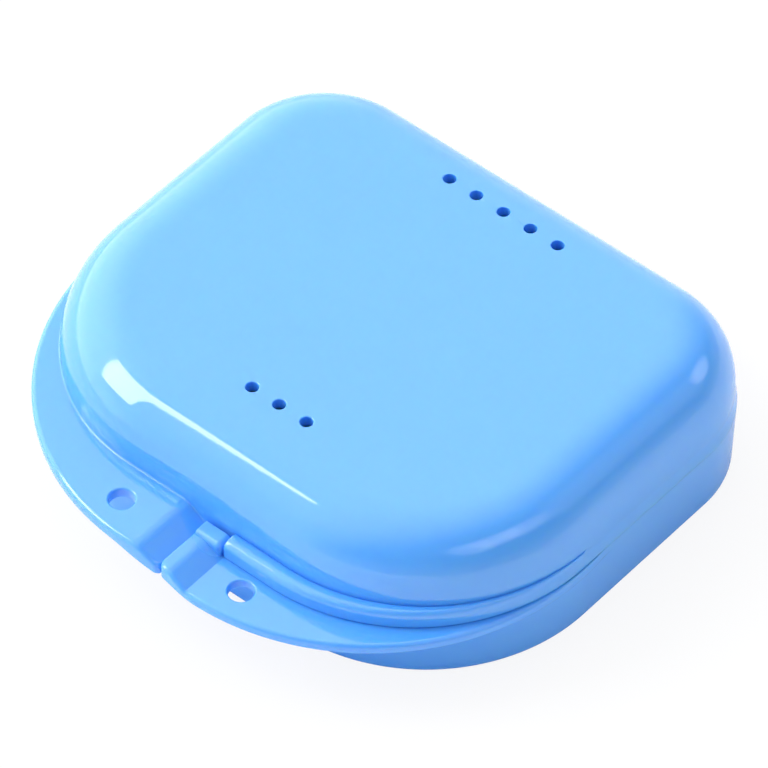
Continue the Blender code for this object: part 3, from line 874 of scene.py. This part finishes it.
def plastic_material(name, base, matt=None):
    """Glossy moulded plastic: a slight translucence, faint flow in the colour and a fine mould grain.

    It is matt round one place, if that is given.
    """
    made, tree, shader = material(name)
    place = tree.nodes.new("ShaderNodeTexCoord").outputs["Object"]
    rough = fade(tree, noise(tree, place, *RUB), 0, 1, RUB_ROUGHNESS, "LINEAR")
    if matt:
        apart = node(tree, "ShaderNodeVectorMath", {0: place, 1: matt}, operation="DISTANCE")
        limits = (MATT_ROUGHNESS, 0)
        added = fade(tree, apart.outputs["Value"], MATT_NEAR, MATT_FAR, limits, "SMOOTHSTEP")
        rough = node(tree, "ShaderNodeMath", {0: rough, 1: added}, operation="ADD").outputs[0]
    inputs = {"Height": noise(tree, place, *GRAIN), "Strength": GRAIN_STRENGTH, "Distance": GRAIN_DEPTH}
    bump = node(tree, "ShaderNodeBump", inputs)
    fill(tree, shader, {
        "Base Color": tinted(tree, noise(tree, place, *FLOW), base, FLOW_SHADE),
        "Roughness": rough,
        "IOR": PLASTIC_IOR,
        "Specular IOR Level": PLASTIC_SPECULAR,
        "Subsurface Weight": 1,
        "Subsurface Radius": SPREAD_RADII,
        "Subsurface Scale": SPREAD_SCALE,
        "Normal": bump.outputs["Normal"],
    })
    return made


def steel_material():
    """Drawn steel wire: fine lines round the pin and a light grey sheen."""
    made, tree, shader = material("pin_steel")
    place = tree.nodes.new("ShaderNodeTexCoord").outputs["Object"]
    stretch = node(tree, "ShaderNodeMapping", {"Vector": place, "Scale": WIRE_LINES})
    lines = noise(tree, stretch.outputs["Vector"], 1, 2)
    fill(tree, shader, {
        "Base Color": tinted(tree, lines, tuple(sizes("colours").steel), WIRE_SHADE),
        "Roughness": fade(tree, lines, 0, 1, WIRE_ROUGHNESS, "LINEAR"),
        "Metallic": 1,
    })
    return made


def vent_tool():
    """Cutter for one vent: a round hole with a rounded mouth at the lid's top."""
    case, vent = sizes("case"), sizes("vent")
    radius = vent.diameter / 2
    profile = [(case.height - case.wall - vent.diameter, radius)]
    profile += mouth(case.height, radius, vent.mouth, 1)
    return piece("vent_tool", turned(profile, Vector((0, 0, 0)), Matrix.Identity(3)))


def vent_tree(finish):
    """Node tree that cuts two rows of vents into a mesh."""
    tree = bpy.data.node_groups.new("vents", "GeometryNodeTree")
    tree.is_modifier = True
    numbers = (("Pitch", "Float"), ("Back row", "Float"), ("Front row", "Float"))
    counts = (("Back vents", "Int"), ("Front vents", "Int"))
    for name, kind in (("Geometry", "Geometry"), ("Cutter", "Object"), *numbers, *counts):
        tree.interface.new_socket(name, in_out="INPUT", socket_type="NodeSocket" + kind)
    tree.interface.new_socket("Geometry", in_out="OUTPUT", socket_type="NodeSocketGeometry")
    given = tree.nodes.new("NodeGroupInput").outputs
    rows = tree.nodes.new("GeometryNodeJoinGeometry")
    for count, row in (("Back vents", "Back row"), ("Front vents", "Front row")):
        spaces = node(tree, "ShaderNodeMath", {0: given[count], 1: 1}, operation="SUBTRACT")
        half = node(tree, "ShaderNodeMath", {0: spaces.outputs[0], 1: -0.5}, operation="MULTIPLY")
        left = node(tree, "ShaderNodeMath", {0: half.outputs[0], 1: given["Pitch"]}, operation="MULTIPLY")
        start = node(tree, "ShaderNodeCombineXYZ", {"X": left.outputs[0], "Y": given[row]})
        step = node(tree, "ShaderNodeCombineXYZ", {"X": given["Pitch"]})
        inputs = {"Count": given[count], "Start Location": start.outputs[0], "Offset": step.outputs[0]}
        line = node(tree, "GeometryNodeMeshLine", inputs, mode="OFFSET")
        fill(tree, rows, {"Geometry": line.outputs["Mesh"]})
    tool = node(tree, "GeometryNodeObjectInfo", {"Object": given["Cutter"]}, transform_space="ORIGINAL")
    inputs = {"Points": rows.outputs["Geometry"], "Instance": tool.outputs["Geometry"]}
    copies = node(tree, "GeometryNodeInstanceOnPoints", inputs)
    whole = node(tree, "GeometryNodeRealizeInstances", {"Geometry": copies.outputs["Instances"]})
    inputs = {"Mesh 1": given["Geometry"], "Mesh 2": whole.outputs["Geometry"]}
    cut = node(tree, "GeometryNodeMeshBoolean", inputs, operation="DIFFERENCE", solver="EXACT")
    real = node(tree, "GeometryNodeRealizeInstances", {"Geometry": cut.outputs["Mesh"]})
    inputs = {"Geometry": real.outputs["Geometry"], "Material": finish}
    coat = node(tree, "GeometryNodeSetMaterial", inputs)
    node(tree, "NodeGroupOutput", {"Geometry": coat.outputs["Geometry"]})
    return tree


def cut_vents(lid, finish):
    """Cut the vents with the node tree, then keep the plain mesh."""
    case, vent = sizes("case"), sizes("vent")
    tool = vent_tool()
    tree = vent_tree(finish)
    modifier = lid.modifiers.new("vents", "NODES")
    modifier.node_group = tree
    values = {
        "Cutter": tool,
        "Pitch": vent.pitch,
        "Back row": case.depth / 2 - vent.from_back,
        "Front row": vent.from_front - case.depth / 2,
        "Back vents": vent.back_count,
        "Front vents": vent.front_count,
    }
    for item in tree.interface.items_tree:
        if item.in_out == "INPUT" and item.name in values:
            modifier[item.identifier] = values[item.name]
    settle(lid)
    bpy.data.objects.remove(tool)


def seat(thing, body, node):
    """Fix a finished piece to its body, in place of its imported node."""
    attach(thing, body)
    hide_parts(node)


class CASE_OT_tray(bpy.types.Operator):
    """Make the tray with its flange, tab and hinge lugs"""

    bl_idname = "case.tray"
    bl_label = "Tray"

    def execute(self, context):
        case, flange, lid = sizes("case"), sizes("flange"), sizes("lid")
        tab_top = case.parting + flange.tray_ramp_rise
        middle = Vector((lid.notch / 2, -(case.depth + lid.lip_width) / 2, tab_top))
        finish = plastic_material("tray_plastic", sizes("colours").plastic, middle)
        tray = piece("tray_shell", tray_shell(), finish)
        join(tray, lug_parts() + [tab_part()], "UNION")
        place = Vector((flange.hole_side, -case.depth / 2 - flange.hole_forward, 0))
        hole = hole_tool("hole", place, case.parting - flange.tray_thickness, case.parting)
        join(tray, [hole] + bore_tools(), "DIFFERENCE")
        clean(tray)
        even(tray)
        seat(tray, "base", "tray")
        return {"FINISHED"}


class CASE_OT_lid(bpy.types.Operator):
    """Make the lid with its flange, lip, knuckles and vents"""

    bl_idname = "case.lid"
    bl_label = "Lid"

    def execute(self, context):
        case, flange, lid_sizes = sizes("case"), sizes("flange"), sizes("lid")
        finish = plastic_material("lid_plastic", sizes("colours").plastic)
        lid = piece("lid_shell", lid_shell(), finish)
        join(lid, knuckle_parts() + [ledge_part()], "UNION")
        place = Vector((-flange.hole_side, -case.depth / 2 - flange.hole_forward, 0))
        top = case.parting + lid_sizes.lip_height
        hole = hole_tool("hole", place, top - flange.lid_thickness, top)
        join(lid, [hole] + bore_tools(), "DIFFERENCE")
        cut_vents(lid, finish)
        clean(lid)
        even(lid)
        seat(lid, "lid", "lid")
        return {"FINISHED"}


class CASE_OT_pins(bpy.types.Operator):
    """Make the two hinge pins with their domed heads"""

    bl_idname = "case.pins"
    bl_label = "Hinge Pins"

    def execute(self, context):
        case, sized = sizes("case"), sizes("hinge")
        finish = steel_material()
        radius, head = sized.pin / 2, sized.head / 2
        far = sized.knuckle / 2 + case.clearance + sized.lug
        seat_at = far + case.clearance / 2
        tip = seat_at + sized.head_thickness
        ease = radius * TAIL_SHARE
        profile = [(-far - sized.tail, radius - ease), (-far - sized.tail + ease, radius)]
        profile += [(seat_at, radius), (seat_at, head)]
        dome = arc((0, 0), (head, sized.head_thickness), 0, HEAD_END, EDGE_STEPS)
        profile += [(seat_at + height, run) for run, height in dome]
        profile.append((tip, radius * HEAD_SHARE))
        for name, place in zip(("hinge_pin_left", "hinge_pin_right"), hinge_places()):
            outward = Matrix.Rotation(math.copysign(math.pi / 2, place.x), 3, "Y")
            pin = piece(name + "_wire", turned(profile, place, outward), finish)
            seat(pin, "base", name)
        return {"FINISHED"}


def heading(bearing, height):
    """Unit vector towards a bearing and a height, both in degrees."""
    side, rise = math.radians(bearing), math.radians(height)
    return Vector((math.cos(rise) * math.cos(side), math.cos(rise) * math.sin(side), math.sin(rise)))


def softbox():
    """A rectangular softbox that looks at the case, turned about its own axis."""
    toward = heading(SOFTBOX_BEARING, SOFTBOX_HEIGHT)
    light = bpy.data.lights.new("softbox", "AREA")
    light.shape = "RECTANGLE"
    light.size, light.size_y = SOFTBOX_SIZE
    light.energy = SOFTBOX_POWER
    thing = bpy.data.objects.new("softbox", light)
    thing.location = toward * SOFTBOX_DISTANCE
    aim = (-toward).to_track_quat("-Z", "Y") @ Quaternion((0, 0, 1), math.radians(SOFTBOX_TURN))
    thing.rotation_euler = aim.to_euler()
    bpy.context.scene.collection.objects.link(thing)


def studio_walls():
    """World: pale walls all round, with wide glows on them that fade out at their edges."""
    world = bpy.data.worlds.new("studio")
    world.use_nodes = True
    tree = world.node_tree
    toward = tree.nodes.new("ShaderNodeTexCoord").outputs["Generated"]
    rise = node(tree, "ShaderNodeSeparateXYZ", {"Vector": toward}).outputs["Z"]
    level = fade(tree, rise, 0, FOOT_FADE, (WALL_LIGHT + FOOT_LIGHT, WALL_LIGHT), "SMOOTHSTEP")
    fill(tree, tree.nodes["Background"], {"Color": (1, 1, 1, 1), "Strength": level})
    whole = tree.nodes["Background"].outputs["Background"]
    for tint, strength, bearing, height, outer, inner in GLOWS:
        inputs = {0: toward, 1: heading(bearing, height)}
        facing = node(tree, "ShaderNodeVectorMath", inputs, operation="DOT_PRODUCT").outputs["Value"]
        faded, full = math.cos(math.radians(outer)), math.cos(math.radians(inner))
        bright = fade(tree, facing, faded, full, (0, strength), "SMOOTHSTEP")
        glow = node(tree, "ShaderNodeBackground", {"Color": (*tint, 1), "Strength": bright})
        inputs = {0: whole, 1: glow.outputs["Background"]}
        whole = node(tree, "ShaderNodeAddShader", inputs).outputs["Shader"]
    fill(tree, tree.nodes["World Output"], {"Surface": whole})
    return world


def white_ground():
    """Floor material: plain white to the camera, with the case's soft shadow kept."""
    made, tree, shader = material("white_floor")
    fill(tree, shader, {"Base Color": FLOOR_COLOUR, "Roughness": FLOOR_ROUGHNESS})
    glow = tree.nodes.new("ShaderNodeEmission")
    seen = tree.nodes.new("ShaderNodeLightPath").outputs["Is Camera Ray"]
    share = node(tree, "ShaderNodeMath", {0: seen, 1: FLOOR_WHITE}, operation="MULTIPLY")
    inputs = {"Fac": share.outputs[0], 1: shader.outputs["BSDF"], 2: glow.outputs["Emission"]}
    mix = node(tree, "ShaderNodeMixShader", inputs)
    fill(tree, tree.nodes["Material Output"], {"Surface": mix.outputs["Shader"]})
    return made


class CASE_OT_stage(bpy.types.Operator):
    """Make the white floor, the studio light and the camera"""

    bl_idname = "case.stage"
    bl_label = "Studio"

    def execute(self, context):
        scene = context.scene
        bm = bmesh.new()
        bmesh.ops.create_grid(bm, x_segments=1, y_segments=1, size=FLOOR_REACH)
        floor = piece("floor", bm, white_ground())
        scene.world = studio_walls()
        softbox()
        view = bpy.data.cameras.new("camera")
        view.lens = CAMERA_LENS
        view.sensor_width = CAMERA_SENSOR
        view.clip_end = CAMERA_END
        camera = bpy.data.objects.new("camera", view)
        camera.location = CAMERA_PLACE
        camera.rotation_euler = (math.radians(90 - CAMERA_DROP), 0, math.radians(CAMERA_TURN))
        scene.collection.objects.link(camera)
        scene.camera = camera
        scene.view_settings.view_transform = "Standard"
        return {"FINISHED"}


class CASE_PT_panel(bpy.types.Panel):
    """Sidebar list of the case's parts"""

    bl_label = "Retainer Case"
    bl_idname = "CASE_PT_panel"
    bl_space_type = "VIEW_3D"
    bl_region_type = "UI"
    bl_category = "Retainer Case"

    def draw(self, context):
        for operator in OPERATORS:
            self.layout.operator(operator.bl_idname)
        for name, group in GROUPS.items():
            box = self.layout.box()
            for field in group.__annotations__:
                box.prop(getattr(context.scene, name), field)


GROUPS = {
    "case": CaseSizes,
    "flange": FlangeSizes,
    "lid": LidSizes,
    "vent": VentSizes,
    "tray": TraySizes,
    "hinge": HingeSizes,
    "colours": StudioColours,
}
OPERATORS = (CASE_OT_stage, CASE_OT_tray, CASE_OT_lid, CASE_OT_pins)


def register():
    for made in (*GROUPS.values(), *OPERATORS, CASE_PT_panel):
        bpy.utils.register_class(made)
    for name, group in GROUPS.items():
        setattr(bpy.types.Scene, name, PointerProperty(type=group))


def unregister():
    for name in GROUPS:
        delattr(bpy.types.Scene, name)
    for made in reversed((*GROUPS.values(), *OPERATORS, CASE_PT_panel)):
        bpy.utils.unregister_class(made)


def main():
    register()
    bpy.ops.case.stage()
    bpy.ops.case.tray()
    bpy.ops.case.lid()
    bpy.ops.case.pins()
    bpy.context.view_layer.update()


if __name__ == "__main__":
    main()
